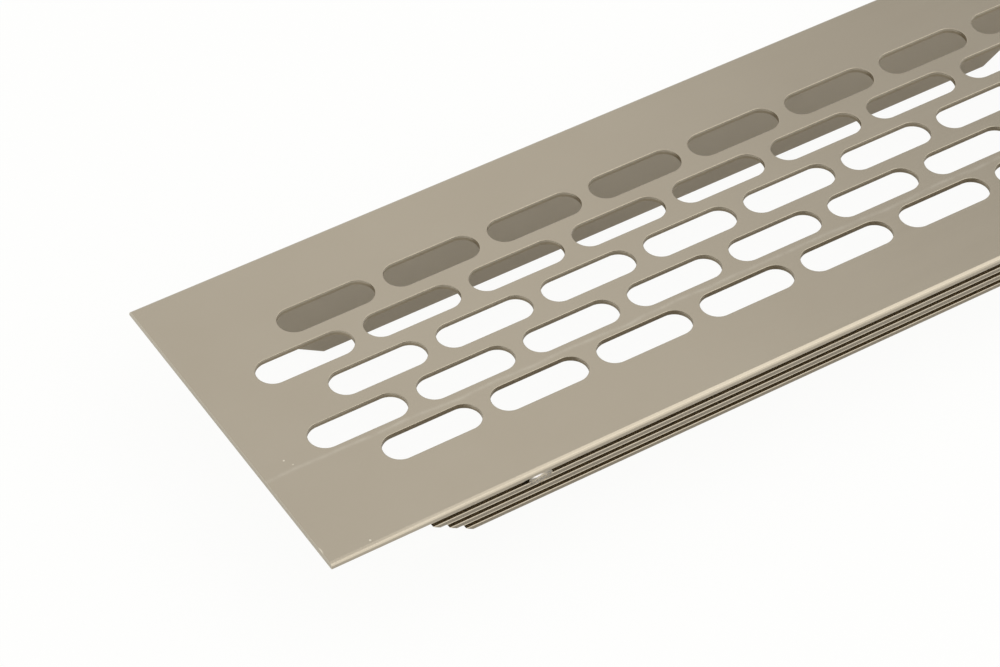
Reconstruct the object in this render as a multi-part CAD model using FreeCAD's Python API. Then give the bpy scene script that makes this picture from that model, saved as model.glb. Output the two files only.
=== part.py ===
import FreeCAD, Part
import math
import os

# Ventilation grille for furniture: one extruded, punched and anodised aluminium profile.
# X runs along the grille, Y across it, Z up. It stands on the feet of its two legs at Z = 0,
# with the origin under the middle of its length and width.

# Overall sizes, in millimetres
LENGTH = 245.0
WIDTH = 80.0
PLATE_THICKNESS = 1.3

# Long edges of the plate
TOP_EDGE_RADIUS = 1.0
LOWER_EDGE_RADIUS = 0.2

# Two legs that plug into the opening in the furniture
SPREAD_OVER_RIBS = 60.0
LEG_DEPTH = 20.0
LEG_THICKNESS = 0.8
INNER_ROOT_RADIUS = 0.4
LEG_FOOT_RADIUS = 0.3

# Gripping ribs along the outer face of each leg, counted up from its foot
RIB_COUNT = 8
RIB_PITCH = 2.42
RIB_HEIGHT = 1.1
RIB_REACH = 1.3
RIB_CORNER_RADIUS = 0.3

# Distance by which the flat seat under each overhang starts outside the rib tips
SEAT_CLEARANCE = 0.05

# Slanted cut at both ends of each leg, measured from the end of the plate
CUT_BACK_AT_PLATE = 6.5
CUT_BACK_AT_FOOT = 37.8

# Punched slots: rows are counted across the width, slots along the length
ROW_COUNT = 5
ROW_PITCH = 10.2
SLOT_LENGTH = 21.75
SLOT_WIDTH = 7.15
SLOT_PITCH = 24.8
FIRST_SLOT_CENTRE = 34.2
STAGGER = 10.75
FAR_END_BORDER = 10.0

# Length by which a cutting body runs past what it cuts
OVERCUT = 1.0

# Places that follow from the sizes above
TOTAL_HEIGHT = LEG_DEPTH + PLATE_THICKNESS
HALF_SPREAD = SPREAD_OVER_RIBS / 2
LEG_OUTSIDE = HALF_SPREAD - RIB_REACH
LEG_INSIDE = LEG_OUTSIDE - LEG_THICKNESS
OUTER_ROOT_RADIUS = RIB_REACH + SEAT_CLEARANCE


def leg_outside_corners():
    """Corners of one leg's ribbed face from the foot up, as (y, z, radius)."""
    corners = []
    for number in range(RIB_COUNT):
        low = number * RIB_PITCH
        high = low + RIB_HEIGHT
        if number > 0:
            corners.append((LEG_OUTSIDE, low, 0.0))
        corners.append((HALF_SPREAD, low, RIB_CORNER_RADIUS))
        corners.append((HALF_SPREAD, high, RIB_CORNER_RADIUS))
        corners.append((LEG_OUTSIDE, high, 0.0))
    corners.append((LEG_OUTSIDE, LEG_DEPTH, OUTER_ROOT_RADIUS))
    return corners


def half_section_corners():
    """Corners of the +Y half of the section, from under the plate's middle to its top."""
    corners = [
        (LEG_INSIDE, LEG_DEPTH, INNER_ROOT_RADIUS),
        (LEG_INSIDE, 0.0, LEG_FOOT_RADIUS),
    ]
    corners += leg_outside_corners()
    corners.append((WIDTH / 2, LEG_DEPTH, LOWER_EDGE_RADIUS))
    corners.append((WIDTH / 2, TOTAL_HEIGHT, TOP_EDGE_RADIUS))
    return corners


def section_corners():
    """Corners of the whole section: the +Y half, then its mirror image in reverse order."""
    half = half_section_corners()
    mirrored = [(-y, z, radius) for y, z, radius in reversed(half)]
    return half + mirrored


def rounded_corner(before, corner, after, radius):
    """Start, middle and end of the tangent arc that rounds one corner."""
    to_before = (before - corner).normalize()
    to_after = (after - corner).normalize()
    half_angle = to_before.getAngle(to_after) / 2
    setback = radius / math.tan(half_angle)
    bisector = (to_before + to_after).normalize()
    middle = corner + bisector * (radius / math.sin(half_angle) - radius)
    return corner + to_before * setback, middle, corner + to_after * setback


def rounded_outline(corners, x):
    """Closed wire in the plane at x, through corners given as (y, z, radius)."""
    points = [FreeCAD.Vector(x, y, z) for y, z, radius in corners]
    arcs = []
    for i, (y, z, radius) in enumerate(corners):
        after = points[(i + 1) % len(points)]
        if radius > 0:
            arcs.append(rounded_corner(points[i - 1], points[i], after, radius))
        else:
            arcs.append((points[i], points[i], points[i]))
    edges = []
    for i, (start, middle, end) in enumerate(arcs):
        if (end - start).Length > 0:
            edges.append(Part.Arc(start, middle, end).toShape())
        next_start = arcs[(i + 1) % len(arcs)][0]
        edges.append(Part.LineSegment(end, next_start).toShape())
    return Part.Wire(edges)


def extruded_profile():
    """The profile at its full length, before any cutting."""
    section = Part.Face(rounded_outline(section_corners(), -LENGTH / 2))
    return section.extrude(FreeCAD.Vector(LENGTH, 0, 0))


def leg_end_cut(side):
    """Body that cuts both legs back at one end, with side -1 or +1 along X."""
    end = LENGTH / 2
    slope = (CUT_BACK_AT_FOOT - CUT_BACK_AT_PLATE) / LEG_DEPTH
    corners = [
        (end + OVERCUT, LEG_DEPTH),
        (end - CUT_BACK_AT_PLATE, LEG_DEPTH),
        (end - CUT_BACK_AT_FOOT - slope * OVERCUT, -OVERCUT),
        (end + OVERCUT, -OVERCUT),
    ]
    half_width = HALF_SPREAD + OVERCUT
    points = [FreeCAD.Vector(side * x, -half_width, z) for x, z in corners]
    face = Part.Face(Part.makePolygon(points + points[:1]))
    return face.extrude(FreeCAD.Vector(0, 2 * half_width, 0))


def slot_cut(x, y):
    """Punch for one slot with fully rounded ends, centred at x and y."""
    radius = SLOT_WIDTH / 2
    reach = SLOT_LENGTH / 2 - radius
    z = LEG_DEPTH - OVERCUT
    left_low = FreeCAD.Vector(x - reach, y - radius, z)
    right_low = FreeCAD.Vector(x + reach, y - radius, z)
    right_tip = FreeCAD.Vector(x + reach + radius, y, z)
    right_high = FreeCAD.Vector(x + reach, y + radius, z)
    left_high = FreeCAD.Vector(x - reach, y + radius, z)
    left_tip = FreeCAD.Vector(x - reach - radius, y, z)
    outline = Part.Wire([
        Part.LineSegment(left_low, right_low).toShape(),
        Part.Arc(right_low, right_tip, right_high).toShape(),
        Part.LineSegment(right_high, left_high).toShape(),
        Part.Arc(left_high, left_tip, left_low).toShape(),
    ])
    return Part.Face(outline).extrude(FreeCAD.Vector(0, 0, PLATE_THICKNESS + 2 * OVERCUT))


def row_slots(row):
    """Punches for one row, which fills the length up to the border at the far end."""
    y = (row - (ROW_COUNT - 1) / 2) * ROW_PITCH
    first = FIRST_SLOT_CENTRE - STAGGER * (row % 2)
    last_allowed = LENGTH - FAR_END_BORDER - SLOT_LENGTH / 2
    count = math.floor((last_allowed - first) / SLOT_PITCH) + 1
    return [slot_cut(first + i * SLOT_PITCH - LENGTH / 2, y) for i in range(count)]


def build_grille():
    """The finished grille: the profile with its leg ends cut back and its slots punched."""
    cuts = [leg_end_cut(-1), leg_end_cut(1)]
    for row in range(ROW_COUNT):
        cuts += row_slots(row)
    return extruded_profile().cut(cuts)


os.makedirs("parts", exist_ok=True)
grille = build_grille()
grille.Solids[0].exportStep("parts/vent_grille.step")
print("solids", len(grille.Solids), "valid", grille.isValid(), "volume", round(grille.Volume, 1))
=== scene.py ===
import math
import bmesh
import bpy
from mathutils import Matrix, Vector, geometry, noise


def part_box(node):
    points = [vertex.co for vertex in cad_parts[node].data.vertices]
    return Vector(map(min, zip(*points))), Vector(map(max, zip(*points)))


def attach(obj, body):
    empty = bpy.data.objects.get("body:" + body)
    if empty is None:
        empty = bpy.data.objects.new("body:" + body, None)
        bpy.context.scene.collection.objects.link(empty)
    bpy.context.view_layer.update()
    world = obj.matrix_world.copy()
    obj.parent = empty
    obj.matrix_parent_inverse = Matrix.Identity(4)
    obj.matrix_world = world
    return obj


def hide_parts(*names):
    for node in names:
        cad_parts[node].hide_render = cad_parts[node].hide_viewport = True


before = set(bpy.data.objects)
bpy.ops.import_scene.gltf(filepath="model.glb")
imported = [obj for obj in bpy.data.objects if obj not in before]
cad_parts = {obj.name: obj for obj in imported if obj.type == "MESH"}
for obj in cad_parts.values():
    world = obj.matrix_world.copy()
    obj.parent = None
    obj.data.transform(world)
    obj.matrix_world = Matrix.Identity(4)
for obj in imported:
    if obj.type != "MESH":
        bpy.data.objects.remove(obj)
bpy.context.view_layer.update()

NODE = "vent_grille"
BODY = "root"
MM = 0.001

# Sizes of the grille in millimetres, as its solid has them. The overall ones are read from the
# solid's bounds.
CAD_LOW, CAD_HIGH = (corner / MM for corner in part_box(NODE))
LENGTH = CAD_HIGH.x - CAD_LOW.x
WIDTH = CAD_HIGH.y - CAD_LOW.y
TOP = CAD_HIGH.z
PLATE_THICKNESS = 1.3
UNDERSIDE = TOP - PLATE_THICKNESS
TOP_EDGE_RADIUS = 1.0
HALF_SPREAD = 30.0
RIB_COUNT = 8
RIB_PITCH = 2.42
RIB_HEIGHT = 1.1
RIB_REACH = 1.3
RIB_CORNER_RADIUS = 0.3
SEAT_CLEARANCE = 0.05
LEG_THICKNESS = 0.8
INNER_ROOT_RADIUS = 0.4
OUTER_ROOT_RADIUS = RIB_REACH + SEAT_CLEARANCE
LEG_FOOT_RADIUS = 0.3
LEG_OUTSIDE = HALF_SPREAD - RIB_REACH
LEG_INSIDE = LEG_OUTSIDE - LEG_THICKNESS
CUT_BACK_AT_PLATE = 6.5
CUT_BACK_AT_FOOT = 37.8
ROW_COUNT = 5
ROW_PITCH = 10.2
SLOT_LENGTH = 21.75
SLOT_WIDTH = 7.15
SLOT_PITCH = 24.8
FIRST_SLOT_CENTRE = 34.2
STAGGER = 10.75
FAR_END_BORDER = 10.0

# Fine edges that differ from the solid, in millimetres: crisper lower corners on the plate and
# the ribs, a small chamfer at the root of each groove, and a break round the plate's cut ends
LOWER_EDGE_RADIUS = 0.1
RIB_LOWER_RADIUS = 0.12
GROOVE_ROOT_OUT = 0.39
GROOVE_ROOT_UP = 0.6
END_BREAK = 0.09

# Punched edge of a slot in millimetres: its rolled-in top, the depth of its smooth sheared band,
# and the flare and the break below that
PUNCH_ROUND = 0.11
PUNCH_SHEAR = 0.55
PUNCH_FLARE = 0.05
PUNCH_BREAK = 0.06

# How finely curves are divided, and how the mesh is closed and shaded
SLOT_ARC_STEPS = 24
PUNCH_ARC_STEPS = 4
SMALL_ARC_STEPS = 5
EDGE_ARC_STEPS = 14
TRIANGLE_TOLERANCE = 1e-6
MERGE_DISTANCE = 0.0001
SHARP_ANGLE = math.radians(32)
NORMAL_WEIGHT = 100

# Finishes of the faces, in the order of the grille's materials
FACE, WALL, CUT = range(3)

# Colours as the screen shows them, from 0 to 255
FACE_COLOUR = (178, 169, 152)
FACE_LIGHT = (190, 182, 166)
FACE_DARK = (170, 160, 142)
BARE_METAL = (216, 208, 190)
SHEARED_COLOUR = (188, 178, 158)
TORN_COLOUR = (166, 154, 132)
SAWN_DARK = (182, 173, 155)
SAWN_LIGHT = (200, 192, 174)
LACQUER_DARK = (226, 208, 172)
LACQUER_LIGHT = (238, 224, 194)
# Painted highlight: pale colour of the spot that stands in for the glint of light on the lacquer
# drop
LACQUER_PAINTED_HIGHLIGHT = (252, 245, 238)

# Range in which most of a noise lies, and how far the noises shift the finishes
NOISE_RANGE = (0.3, 0.7)
MIDDLE_TONE = 0.5
CLOUD_TONE = 0.12
DRAWN_TONE = 0.04
DRAWN_BUMP_SHARE = 0.6
FACE_ROUGHNESS = 0.22
FACE_ROUGHNESS_SWING = 0.02
FACE_BUMP = 0.0006
WALL_ROUGHNESS = (0.36, 0.55)
TORN_SWING = 0.08
SHEAR_BLEND = 0.1
TORN_BUMP = 0.02
SAWN_ROUGHNESS = 0.42
SAWN_BUMP = 0.01

# End that the photograph shows
LEFT_END = -LENGTH / 2

# Long pale streak on the plate, in millimetres. It bends away near the left end, is broken into
# paler and fainter stretches, and fades out between two depths below the top face.
STREAK_Y = -15.45
STREAK_HALF_WIDTH = 0.42
STREAK_WAVER = 0.5
STREAK_BEND = 0.6
STREAK_BEND_LENGTH = 35
STREAK_BREAKS = (0.35, 0.65)
STREAK_STRENGTH = (0.2, 0.75)
STREAK_DEPTHS = (0.2, 0.1)

# Small marks near the left end: specks as (x, y, radius), and one nick, stretched across the plate
SPECKS = [(LEFT_END + 5.8, -12.0, 0.27), (LEFT_END + 6.8, -13.8, 0.19), (LEFT_END + 9.4, -38.4, 0.3)]
SPOT_CORE = 0.4
NICK_Y = -35.8
NICK_RADIUS = 0.46
NICK_SQUEEZE = 0.4

# Drop of set lacquer on the near leg: its middle and half sizes, its uneven swell, and the
# painted highlight on it, a pale streak near its upper edge, stretched along the leg
DROP_MIDDLE = Vector((LEFT_END + 53.4, -HALF_SPREAD + 0.1, 6.4))
DROP_HALF = Vector((2.75, 0.7, 1.55))
DROP_SEGMENTS = 48
DROP_RINGS = 28
DROP_SWELL = 0.92
DROP_TAPER = 0.1
DROP_LUMPS = 0.12
DROP_LUMP_SCALE = 1.6
# Painted highlight on the drop: its middle, radius and squeeze along the leg
PAINTED_HIGHLIGHT_MIDDLE = Vector((LEFT_END + 52.3, -HALF_SPREAD - 0.3, 7.45))
PAINTED_HIGHLIGHT_RADIUS = 0.42
PAINTED_HIGHLIGHT_SQUEEZE = 0.25
LACQUER_CLEARNESS = 0.7
LACQUER_ROUGHNESS = (0.03, 0.06)
LACQUER_IOR = 2.2

# Floor: its size in metres, its own grey, and the shares of white that the camera and mirrors see
FLOOR_SIZE = 6.0
FLOOR_SHADE = 0.8
FLOOR_LIFT = 0.94
FLOOR_MIRRORED_LIFT = 0.22
FLOOR_GLOW = (1.0, 1.0, 0.99, 1.0)

# World light by heading, where 1 is straight along +X: it rises a little, then dims
WORLD_LEFT = 0.97
WORLD_BRIGHT = 1.06
WORLD_DIM = 0.68
WORLD_RISE = (0.28, 0.40)
WORLD_FADE = (0.40, 0.52)
WHITE = (1.0, 1.0, 1.0, 1.0)

# The photograph's camera, in millimetres and degrees
CAMERA_PLACE = Vector((-354.67, -459.74, 561.2))
CAMERA_AZIMUTH = 32.668
CAMERA_ELEVATION = 44.957
CAMERA_ROLL = 0.665
CAMERA_LENS = 138.18
CAMERA_SENSOR = 36.0


class Shell:
    """Points and faces of the grille in millimetres, gathered before they become one mesh."""

    def __init__(self):
        self.points = []
        self.faces = []

    def add(self, points):
        """Adds points and returns their numbers."""
        first = len(self.points)
        self.points.extend(points)
        return range(first, len(self.points))

    def strips(self, loops, finish, closed=True):
        """Faces between neighbouring loops that have the same number of points."""
        rows = [self.add(loop) for loop in loops]
        count = len(loops[0])
        last = count if closed else count - 1
        for lower, upper in zip(rows, rows[1:]):
            for i in range(last):
                j = (i + 1) % count
                self.faces.append(((lower[i], lower[j], upper[j], upper[i]), finish))

    def polygon(self, points, finish):
        """One face through the given points."""
        self.faces.append((tuple(self.add(points)), finish))

    def region(self, outline, holes, z, finish, is_hole):
        """Flat faces at height z inside an outline and outside its holes."""
        coords = []
        edges = []
        for loop in [outline] + holes:
            first = len(coords)
            coords += [Vector(point) for point in loop]
            edges += [(first + i, first + (i + 1) % len(loop)) for i in range(len(loop))]
        flat, _, triangles, *_ = geometry.delaunay_2d_cdt(coords, edges, [], 1, TRIANGLE_TOLERANCE)
        numbers = self.add([Vector((p.x, p.y, z)) for p in flat])
        for triangle in triangles:
            middle = sum((flat[i] for i in triangle), Vector((0, 0))) / len(triangle)
            if not is_hole(middle):
                self.faces.append((tuple(numbers[i] for i in triangle), finish))

    def mesh(self, name):
        """The gathered faces as one closed mesh in metres."""
        made = bmesh.new()
        points = [made.verts.new(point) for point in self.points]
        for numbers, finish in self.faces:
            face = made.faces.new([points[i] for i in numbers])
            face.material_index = finish
            face.smooth = True
        bmesh.ops.remove_doubles(made, verts=made.verts, dist=MERGE_DISTANCE)
        bmesh.ops.recalc_face_normals(made, faces=made.faces)
        bmesh.ops.scale(made, vec=(MM, MM, MM), verts=made.verts)
        mesh = bpy.data.meshes.new(name)
        made.to_mesh(mesh)
        made.free()
        mesh.set_sharp_from_angle(angle=SHARP_ANGLE)
        return mesh


def rounded(corners, steps):
    """Points through corners given as (y, z, radius). Only right-angled ones have a radius."""
    points = []
    for i, (y, z, radius) in enumerate(corners):
        corner = Vector((y, z))
        if radius == 0:
            points.append(corner)
            continue
        to_before = (Vector(corners[i - 1][:2]) - corner).normalized()
        to_after = (Vector(corners[(i + 1) % len(corners)][:2]) - corner).normalized()
        centre = corner + (to_before + to_after) * radius
        for step in range(steps + 1):
            turn = math.pi / 2 * step / steps
            points.append(centre - (to_after * math.cos(turn) + to_before * math.sin(turn)) * radius)
    return points


def plate_outline(inset):
    """Closed outline of the plate's section, drawn in by inset, as (y, z) points."""
    half = WIDTH / 2 - inset
    low = UNDERSIDE + inset
    high = TOP - inset
    lower = LOWER_EDGE_RADIUS - inset
    upper = TOP_EDGE_RADIUS - inset
    corners = [(-half, high, upper), (-half, low, lower), (half, low, lower), (half, high, upper)]
    return rounded(corners, EDGE_ARC_STEPS)


def leg_section():
    """Section of the +Y leg from its inner root round the foot and the ribs to its outer root."""
    corners = [
        (0.0, UNDERSIDE, 0),
        (LEG_INSIDE, UNDERSIDE, INNER_ROOT_RADIUS),
        (LEG_INSIDE, 0.0, LEG_FOOT_RADIUS),
    ]
    for number in range(RIB_COUNT):
        low = number * RIB_PITCH
        high = low + RIB_HEIGHT
        if number > 0:
            corners.append((LEG_OUTSIDE, low, 0))
        corners.append((HALF_SPREAD, low, RIB_LOWER_RADIUS))
        corners.append((HALF_SPREAD, high, RIB_CORNER_RADIUS))
        if number < RIB_COUNT - 1:
            corners.append((LEG_OUTSIDE + GROOVE_ROOT_OUT, high, 0))
            corners.append((LEG_OUTSIDE, high + GROOVE_ROOT_UP, 0))
        else:
            corners.append((LEG_OUTSIDE, high, 0))
    corners.append((LEG_OUTSIDE, UNDERSIDE, OUTER_ROOT_RADIUS))
    corners.append((WIDTH / 2, UNDERSIDE, 0))
    return rounded(corners, SMALL_ARC_STEPS)[1:-1]


def leg_end(z):
    """Distance from the middle of the length to the slanted end of a leg at height z."""
    slope = (CUT_BACK_AT_FOOT - CUT_BACK_AT_PLATE) / UNDERSIDE
    return LENGTH / 2 - CUT_BACK_AT_PLATE - slope * (UNDERSIDE - z)


def slot_centres():
    """Centres of all slots, as (x, y), row by row."""
    centres = []
    last_allowed = LENGTH - FAR_END_BORDER - SLOT_LENGTH / 2
    for row in range(ROW_COUNT):
        y = (row - (ROW_COUNT - 1) / 2) * ROW_PITCH
        along = FIRST_SLOT_CENTRE - STAGGER * (row % 2)
        while along <= last_allowed:
            centres.append((along - LENGTH / 2, y))
            along += SLOT_PITCH
    return centres


def slot_outline(centre, grow):
    """Outline of one slot with round ends, made larger all round by grow."""
    radius = SLOT_WIDTH / 2
    reach = SLOT_LENGTH / 2 - radius
    points = []
    for side in (1, -1):
        for step in range(SLOT_ARC_STEPS + 1):
            turn = math.pi * step / SLOT_ARC_STEPS - math.pi / 2
            x = centre[0] + side * (reach + (radius + grow) * math.cos(turn))
            y = centre[1] + side * (radius + grow) * math.sin(turn)
            points.append((x, y))
    return points


def in_slot(point, centre, grow):
    """Whether a point lies inside one slot that is made larger by grow."""
    radius = SLOT_WIDTH / 2
    reach = SLOT_LENGTH / 2 - radius
    beyond = max(abs(point.x - centre[0]) - reach, 0)
    return math.hypot(beyond, point.y - centre[1]) < radius + grow


def punch_levels():
    """Growth and height of each loop of a slot's wall, from the top face down."""
    levels = []
    for step in range(PUNCH_ARC_STEPS + 1):
        turn = math.pi / 2 * step / PUNCH_ARC_STEPS
        grow = PUNCH_ROUND * (1 - math.sin(turn))
        levels.append((grow, TOP - PUNCH_ROUND * (1 - math.cos(turn))))
    levels.append((0.0, TOP - PUNCH_SHEAR))
    levels.append((PUNCH_FLARE, UNDERSIDE + PUNCH_BREAK))
    levels.append((PUNCH_FLARE + PUNCH_BREAK, UNDERSIDE))
    return levels


def add_slot_walls(shell, centre):
    """The rolled-in top edge, the sheared and the torn wall, and the lower break of one slot."""
    loops = []
    for grow, z in punch_levels():
        loops.append([Vector((x, y, z)) for x, y in slot_outline(centre, grow)])
    shell.strips(loops[: PUNCH_ARC_STEPS + 1], FACE)
    shell.strips(loops[PUNCH_ARC_STEPS:], WALL)


def rectangle(x, y_low, y_high):
    """Corners of a rectangle from -x to x and between two values of y."""
    return [(-x, y_low), (x, y_low), (x, y_high), (-x, y_high)]


def add_plate_faces(shell, end):
    """The plate's top and underside up to -end and end, open at the slots and the legs' roots."""
    centres = slot_centres()
    roots = leg_section()
    root_low = roots[0].x
    root_high = roots[-1].x
    leg_reach = leg_end(UNDERSIDE)
    wide = WIDTH / 2 - TOP_EDGE_RADIUS
    low_wide = WIDTH / 2 - LOWER_EDGE_RADIUS
    low_grow = PUNCH_FLARE + PUNCH_BREAK

    def in_top_hole(point):
        return any(in_slot(point, centre, PUNCH_ROUND) for centre in centres)

    def in_lower_hole(point):
        if root_low < abs(point.y) < root_high and abs(point.x) < leg_reach:
            return True
        return any(in_slot(point, centre, low_grow) for centre in centres)

    slots_at_top = [slot_outline(centre, PUNCH_ROUND) for centre in centres]
    shell.region(rectangle(end, -wide, wide), slots_at_top, TOP, FACE, in_top_hole)
    slots_below = [slot_outline(centre, low_grow) for centre in centres]
    footprints = [
        rectangle(leg_reach, root_low, root_high),
        rectangle(leg_reach, -root_high, -root_low),
    ]
    below = rectangle(end, -low_wide, low_wide)
    shell.region(below, slots_below + footprints, UNDERSIDE, FACE, in_lower_hole)
    for centre in centres:
        add_slot_walls(shell, centre)


def add_plate_edges(shell, end):
    """The plate's long edges between -end and end, and its cut ends with their broken rims."""
    outline = plate_outline(0.0)
    for side in (-1, 1):
        edge = [point for point in outline if point.x * side > 0]
        if side > 0:
            edge = edge[::-1]
        near = [Vector((-end, p.x, p.y)) for p in edge]
        far = [Vector((end, p.x, p.y)) for p in edge]
        shell.strips([near, far], FACE, closed=False)
        full = [Vector((side * end, p.x, p.y)) for p in outline]
        inner = [Vector((side * LENGTH / 2, p.x, p.y)) for p in plate_outline(END_BREAK)]
        shell.strips([full, inner], CUT)
        shell.polygon(inner, CUT)


def add_leg(shell, side):
    """One ribbed leg, on the side -1 or +1 across the width, with its slanted ends."""
    section = leg_section()
    ends = []
    for direction in (-1, 1):
        end = [Vector((direction * leg_end(p.y), side * p.x, p.y)) for p in section]
        ends.append(end)
        shell.polygon(end, CUT)
    shell.strips(ends, FACE, closed=False)


def build_grille():
    """The grille as one closed mesh that stands for its solid."""
    shell = Shell()
    end = LENGTH / 2 - END_BREAK
    add_plate_faces(shell, end)
    add_plate_edges(shell, end)
    add_leg(shell, 1)
    add_leg(shell, -1)
    grille = bpy.data.objects.new("grille_finish", shell.mesh("grille_finish"))
    bpy.context.scene.collection.objects.link(grille)
    weighted = grille.modifiers.new("even_normals", "WEIGHTED_NORMAL")
    weighted.keep_sharp = True
    weighted.weight = NORMAL_WEIGHT
    return grille


def linear(colour):
    """A screen colour from 0 to 255 as linear values with full alpha."""
    values = []
    for value in colour:
        share = value / 255
        values.append(share / 12.92 if share <= 0.04045 else ((share + 0.055) / 1.055) ** 2.4)
    return (*values, 1.0)


class Nodes:
    """Short calls that add nodes to the tree of a material or a world."""

    def __init__(self, owner):
        owner.use_nodes = True
        self.owner = owner
        self.tree = owner.node_tree

    def own(self, name):
        """A node that the tree has from the start."""
        return self.tree.nodes[name]

    def link(self, source, target):
        """Links an output to an input, or sets the input to a plain value."""
        if hasattr(source, "is_output"):
            self.tree.links.new(source, target)
        else:
            target.default_value = source

    def add(self, kind, **settings):
        """A new node with the given settings."""
        node = self.tree.nodes.new("ShaderNode" + kind)
        for name, value in settings.items():
            setattr(node, name, value)
        return node

    def math(self, operation, first, second):
        """A math node's result."""
        node = self.add("Math", operation=operation)
        self.link(first, node.inputs[0])
        self.link(second, node.inputs[1])
        return node.outputs[0]

    def place(self, x_scale=1, y_scale=1, z_scale=1):
        """Place on the object, in scaled millimetres."""
        coords = self.add("TexCoord")
        mapping = self.add("Mapping")
        self.link(coords.outputs["Object"], mapping.inputs["Vector"])
        mapping.inputs["Scale"].default_value = (x_scale / MM, y_scale / MM, z_scale / MM)
        return mapping.outputs[0]

    def split(self, vector):
        """The three parts of a vector."""
        node = self.add("SeparateXYZ")
        self.link(vector, node.inputs[0])
        return node.outputs

    def noise(self, place, scale, detail=2.0, roughness=0.5):
        """Noise from 0 to 1."""
        node = self.add("TexNoise")
        self.link(place, node.inputs["Vector"])
        node.inputs["Scale"].default_value = scale
        node.inputs["Detail"].default_value = detail
        node.inputs["Roughness"].default_value = roughness
        return node.outputs["Fac"]

    def ramp(self, value, source, target):
        """A value mapped from its source range to a target range, and held at both ends."""
        node = self.add("MapRange")
        self.link(value, node.inputs["Value"])
        self.link(source[0], node.inputs["From Min"])
        self.link(source[1], node.inputs["From Max"])
        self.link(target[0], node.inputs["To Min"])
        self.link(target[1], node.inputs["To Max"])
        return node.outputs[0]

    def swing(self, value, reach):
        """A noise mapped to a range from -reach to reach."""
        return self.ramp(value, NOISE_RANGE, (-reach, reach))

    def spot(self, place, centre, radius):
        """1 inside a small round spot, falling to 0 at its radius."""
        node = self.add("VectorMath", operation="DISTANCE")
        self.link(place, node.inputs[0])
        node.inputs[1].default_value = centre
        return self.ramp(node.outputs["Value"], (radius * SPOT_CORE, radius), (1.0, 0.0))

    def mix(self, factor, first, second):
        """A mix of two colours."""
        node = self.add("Mix", data_type="RGBA")
        self.link(factor, node.inputs[0])
        self.link(first, node.inputs[6])
        self.link(second, node.inputs[7])
        return node.outputs[2]

    def bump(self, height, distance, target):
        """A bump of the given height in millimetres, for a shader's normal."""
        node = self.add("Bump")
        self.link(height, node.inputs["Height"])
        node.inputs["Strength"].default_value = 1.0
        node.inputs["Distance"].default_value = distance * MM
        self.link(node.outputs[0], target)


def pale_streak(nodes):
    """Strength of the long pale streak, on the top face only."""
    waver = nodes.noise(nodes.place(1, 0, 0), scale=0.06)
    broken = nodes.noise(nodes.place(1, 0.3, 0), scale=0.22, detail=3.0, roughness=0.6)
    x, y, z = nodes.split(nodes.place())
    bend_range = (LEFT_END, LEFT_END + STREAK_BEND_LENGTH)
    off = nodes.math("SUBTRACT", y, STREAK_Y)
    off = nodes.math("ADD", off, nodes.swing(waver, STREAK_WAVER))
    off = nodes.math("SUBTRACT", off, nodes.ramp(x, bend_range, (STREAK_BEND, 0.0)))
    near = nodes.math("DIVIDE", off, STREAK_HALF_WIDTH)
    falloff = nodes.math("MULTIPLY", nodes.math("MULTIPLY", near, near), -1.0)
    streak = nodes.math("POWER", math.e, falloff)
    top_range = (TOP - STREAK_DEPTHS[0], TOP - STREAK_DEPTHS[1])
    streak = nodes.math("MULTIPLY", streak, nodes.ramp(z, top_range, (0.0, 1.0)))
    return nodes.math("MULTIPLY", streak, nodes.ramp(broken, STREAK_BREAKS, STREAK_STRENGTH))


def worn_marks(nodes):
    """1 where the small marks near the left end show bare metal."""
    nick = (LEFT_END, NICK_Y * NICK_SQUEEZE, TOP)
    worn = nodes.spot(nodes.place(1, NICK_SQUEEZE, 1), nick, NICK_RADIUS)
    for x, y, radius in SPECKS:
        worn = nodes.math("MAXIMUM", worn, nodes.spot(nodes.place(), (x, y, TOP), radius))
    return worn


def anodised_face():
    """Satin champagne anodising with faint drawing lines, the pale streak and the small marks."""
    nodes = Nodes(bpy.data.materials.new("anodised_face"))
    shader = nodes.own("Principled BSDF").inputs
    cloud = nodes.noise(nodes.place(), scale=0.045, detail=3.0)
    drawn = nodes.noise(nodes.place(0.01, 1, 1), scale=2.2, detail=3.0, roughness=0.6)
    grain = nodes.noise(nodes.place(), scale=5.0)
    drawn_range = (MIDDLE_TONE - DRAWN_TONE, MIDDLE_TONE + DRAWN_TONE)
    drawn_tone = nodes.ramp(drawn, NOISE_RANGE, drawn_range)
    tone = nodes.math("ADD", nodes.swing(cloud, CLOUD_TONE), drawn_tone)
    colour = nodes.mix(tone, linear(FACE_DARK), linear(FACE_COLOUR))
    colour = nodes.mix(pale_streak(nodes), colour, linear(FACE_LIGHT))
    colour = nodes.mix(worn_marks(nodes), colour, linear(BARE_METAL))
    nodes.link(colour, shader["Base Color"])
    rough = nodes.math("ADD", nodes.swing(drawn, FACE_ROUGHNESS_SWING), FACE_ROUGHNESS)
    rough = nodes.math("ADD", rough, nodes.swing(grain, FACE_ROUGHNESS_SWING))
    nodes.link(rough, shader["Roughness"])
    shader["Metallic"].default_value = 1.0
    height = nodes.math("ADD", grain, nodes.math("MULTIPLY", drawn, DRAWN_BUMP_SHARE))
    nodes.bump(height, FACE_BUMP, shader["Normal"])
    return nodes.owner


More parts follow.
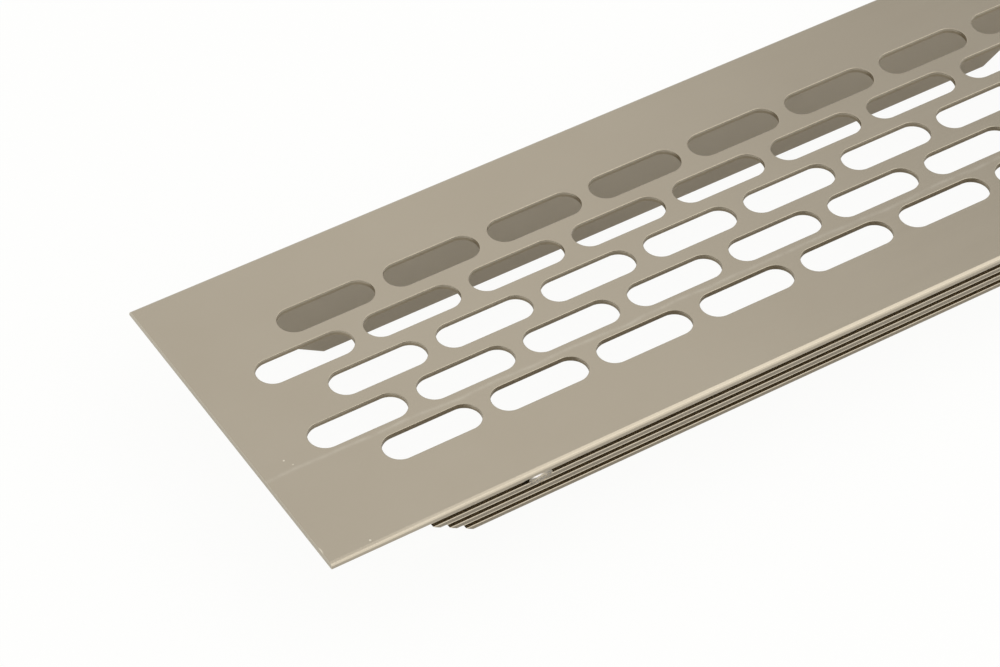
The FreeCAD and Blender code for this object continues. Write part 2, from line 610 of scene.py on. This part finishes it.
def punched_wall():
    """Slot walls: a smooth sheared band above a rougher torn one."""
    nodes = Nodes(bpy.data.materials.new("punched_wall"))
    shader = nodes.own("Principled BSDF").inputs
    torn = nodes.noise(nodes.place(2.5, 2.5, 0.6), scale=1.0, detail=3.0, roughness=0.6)
    z = nodes.split(nodes.place())[2]
    level = nodes.math("ADD", z, nodes.swing(torn, TORN_SWING))
    shear = TOP - PUNCH_SHEAR
    low = nodes.ramp(level, (shear - SHEAR_BLEND, shear + SHEAR_BLEND), (1.0, 0.0))
    colour = nodes.mix(low, linear(SHEARED_COLOUR), linear(TORN_COLOUR))
    nodes.link(colour, shader["Base Color"])
    nodes.link(nodes.ramp(low, (0.0, 1.0), WALL_ROUGHNESS), shader["Roughness"])
    shader["Metallic"].default_value = 1.0
    nodes.bump(nodes.math("MULTIPLY", torn, low), TORN_BUMP, shader["Normal"])
    return nodes.owner


def sawn_end():
    """Cut ends with fine saw marks across the profile."""
    nodes = Nodes(bpy.data.materials.new("sawn_end"))
    shader = nodes.own("Principled BSDF").inputs
    marks = nodes.noise(nodes.place(0.4, 7.0, 0.4), scale=1.0, detail=3.0, roughness=0.6)
    nodes.link(nodes.mix(marks, linear(SAWN_DARK), linear(SAWN_LIGHT)), shader["Base Color"])
    shader["Roughness"].default_value = SAWN_ROUGHNESS
    shader["Metallic"].default_value = 1.0
    nodes.bump(marks, SAWN_BUMP, shader["Normal"])
    return nodes.owner


def clear_lacquer():
    """Nearly clear set lacquer with a slight haze, and a painted highlight: one pale, less clear
    streak along its upper edge.
    """
    nodes = Nodes(bpy.data.materials.new("clear_lacquer"))
    shader = nodes.own("Principled BSDF").inputs
    haze = nodes.noise(nodes.place(), scale=0.8)
    clear = nodes.mix(haze, linear(LACQUER_DARK), linear(LACQUER_LIGHT))
    # Painted highlight: a pale spot with less transmission near the drop's upper edge stands in for
    # the glint of light on it
    middle = (PAINTED_HIGHLIGHT_MIDDLE.x * PAINTED_HIGHLIGHT_SQUEEZE, PAINTED_HIGHLIGHT_MIDDLE.y, PAINTED_HIGHLIGHT_MIDDLE.z)
    painted_highlight = nodes.spot(nodes.place(PAINTED_HIGHLIGHT_SQUEEZE, 1, 1), middle, PAINTED_HIGHLIGHT_RADIUS)
    nodes.link(nodes.mix(painted_highlight, clear, linear(LACQUER_PAINTED_HIGHLIGHT)), shader["Base Color"])
    nodes.link(nodes.ramp(haze, NOISE_RANGE, LACQUER_ROUGHNESS), shader["Roughness"])
    clearness = nodes.ramp(painted_highlight, (0.0, 1.0), (LACQUER_CLEARNESS, 0.0))
    nodes.link(clearness, shader["Transmission Weight"])
    shader["IOR"].default_value = LACQUER_IOR
    shader["Specular IOR Level"].default_value = 1.0
    return nodes.owner


def floor_material():
    """Plain white floor that keeps the object's shadow, lifted towards white where it is seen."""
    nodes = Nodes(bpy.data.materials.new("white_floor"))
    nodes.tree.nodes.remove(nodes.own("Principled BSDF"))
    diffuse = nodes.add("BsdfDiffuse")
    diffuse.inputs["Color"].default_value = (FLOOR_SHADE, FLOOR_SHADE, FLOOR_SHADE, 1.0)
    glow = nodes.add("Emission")
    glow.inputs["Color"].default_value = FLOOR_GLOW
    rays = nodes.add("LightPath").outputs
    seen = nodes.math("MAXIMUM", rays["Is Camera Ray"], rays["Is Transmission Ray"])
    seen = nodes.math("MULTIPLY", seen, FLOOR_LIFT)
    mirrored = nodes.math("MULTIPLY", rays["Is Glossy Ray"], FLOOR_MIRRORED_LIFT)
    mixed = nodes.add("MixShader")
    nodes.link(nodes.math("MAXIMUM", seen, mirrored), mixed.inputs[0])
    nodes.link(diffuse.outputs[0], mixed.inputs[1])
    nodes.link(glow.outputs[0], mixed.inputs[2])
    nodes.link(mixed.outputs[0], nodes.own("Material Output").inputs["Surface"])
    return nodes.owner


def lacquer_drop():
    """A small uneven drop across the uppermost groove that shows under the near edge."""
    made = bmesh.new()
    bmesh.ops.create_uvsphere(made, u_segments=DROP_SEGMENTS, v_segments=DROP_RINGS, radius=1.0)
    for vert in made.verts:
        lump = noise.noise(vert.co * DROP_LUMP_SCALE)
        swell = DROP_SWELL - DROP_TAPER * vert.co.x + DROP_LUMPS * lump
        off_x = vert.co.x * DROP_HALF.x
        off_y = vert.co.y * DROP_HALF.y * swell
        off_z = vert.co.z * DROP_HALF.z * swell
        vert.co = (DROP_MIDDLE + Vector((off_x, off_y, off_z))) * MM
    for face in made.faces:
        face.smooth = True
    mesh = bpy.data.meshes.new("lacquer_drop")
    made.to_mesh(mesh)
    made.free()
    mesh.materials.append(clear_lacquer())
    drop = bpy.data.objects.new("lacquer_drop", mesh)
    bpy.context.scene.collection.objects.link(drop)
    return drop


def add_floor():
    """A wide plain floor under the grille's feet."""
    half = FLOOR_SIZE / 2
    mesh = bpy.data.meshes.new("floor")
    corners = [(-half, -half, 0), (half, -half, 0), (half, half, 0), (-half, half, 0)]
    mesh.from_pydata(corners, [], [(0, 1, 2, 3)])
    mesh.materials.append(floor_material())
    floor = bpy.data.objects.new("floor", mesh)
    bpy.context.scene.collection.objects.link(floor)


def set_world():
    """Soft studio light from all round, dimmer towards +X, and white where the camera sees it."""
    world = bpy.data.worlds.new("studio")
    bpy.context.scene.world = world
    nodes = Nodes(world)
    background = nodes.own("Background").inputs
    background["Color"].default_value = WHITE
    heading = nodes.split(nodes.add("TexCoord").outputs["Generated"])[0]
    risen = nodes.ramp(heading, WORLD_RISE, (WORLD_LEFT, WORLD_BRIGHT))
    light = nodes.ramp(heading, WORLD_FADE, (risen, WORLD_DIM))
    seen = nodes.add("Mix")
    nodes.link(nodes.add("LightPath").outputs["Is Camera Ray"], seen.inputs[0])
    nodes.link(light, seen.inputs[2])
    nodes.link(1.0, seen.inputs[3])
    nodes.link(seen.outputs[0], background["Strength"])


def softbox(name, place, target, size, radiance):
    """A rectangular area light that faces a target. Lengths are in metres."""
    light = bpy.data.lights.new(name, "AREA")
    light.shape = "RECTANGLE"
    light.size = size[0]
    light.size_y = size[1]
    light.energy = radiance * math.pi * size[0] * size[1]
    lamp = bpy.data.objects.new(name, light)
    lamp.location = place
    lamp.rotation_euler = (Vector(target) - Vector(place)).to_track_quat("-Z", "Y").to_euler()
    bpy.context.scene.collection.objects.link(lamp)


def add_lights():
    """A softbox overhead, beyond the far end, and one in front, for the bright long edge."""
    softbox(
        "top_softbox",
        place=(1.28, -0.35, 1.2),
        target=(1.28, -0.35, 0),
        size=(1.8, 1.9),
        radiance=1.0,
    )
    softbox(
        "front_softbox",
        place=(0.4, -1.7, 0.75),
        target=(0, 0, 0.1),
        size=(2.6, 1.6),
        radiance=0.6,
    )


def add_camera():
    """The photograph's camera, from its place, heading, tilt and roll."""
    azimuth = math.radians(CAMERA_AZIMUTH)
    elevation = math.radians(CAMERA_ELEVATION)
    roll = math.radians(CAMERA_ROLL)
    level = math.cos(elevation)
    forward = Vector((math.sin(azimuth) * level, math.cos(azimuth) * level, -math.sin(elevation)))
    flat_right = Vector((math.cos(azimuth), -math.sin(azimuth), 0))
    flat_up = flat_right.cross(forward)
    right = flat_right * math.cos(roll) + flat_up * math.sin(roll)
    up = flat_up * math.cos(roll) - flat_right * math.sin(roll)
    data = bpy.data.cameras.new("camera")
    data.lens = CAMERA_LENS
    data.sensor_width = CAMERA_SENSOR
    camera = bpy.data.objects.new("camera", data)
    turn = Matrix((right, up, -forward)).transposed()
    camera.matrix_world = Matrix.Translation(CAMERA_PLACE * MM) @ turn.to_4x4()
    bpy.context.scene.collection.objects.link(camera)
    bpy.context.scene.camera = camera


grille = build_grille()
for make in (anodised_face, punched_wall, sawn_end):
    grille.data.materials.append(make())
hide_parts(NODE)
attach(grille, BODY)
drop = lacquer_drop()
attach(drop, BODY)
add_floor()
set_world()
add_lights()
add_camera()
bpy.context.scene.view_settings.view_transform = "Standard"
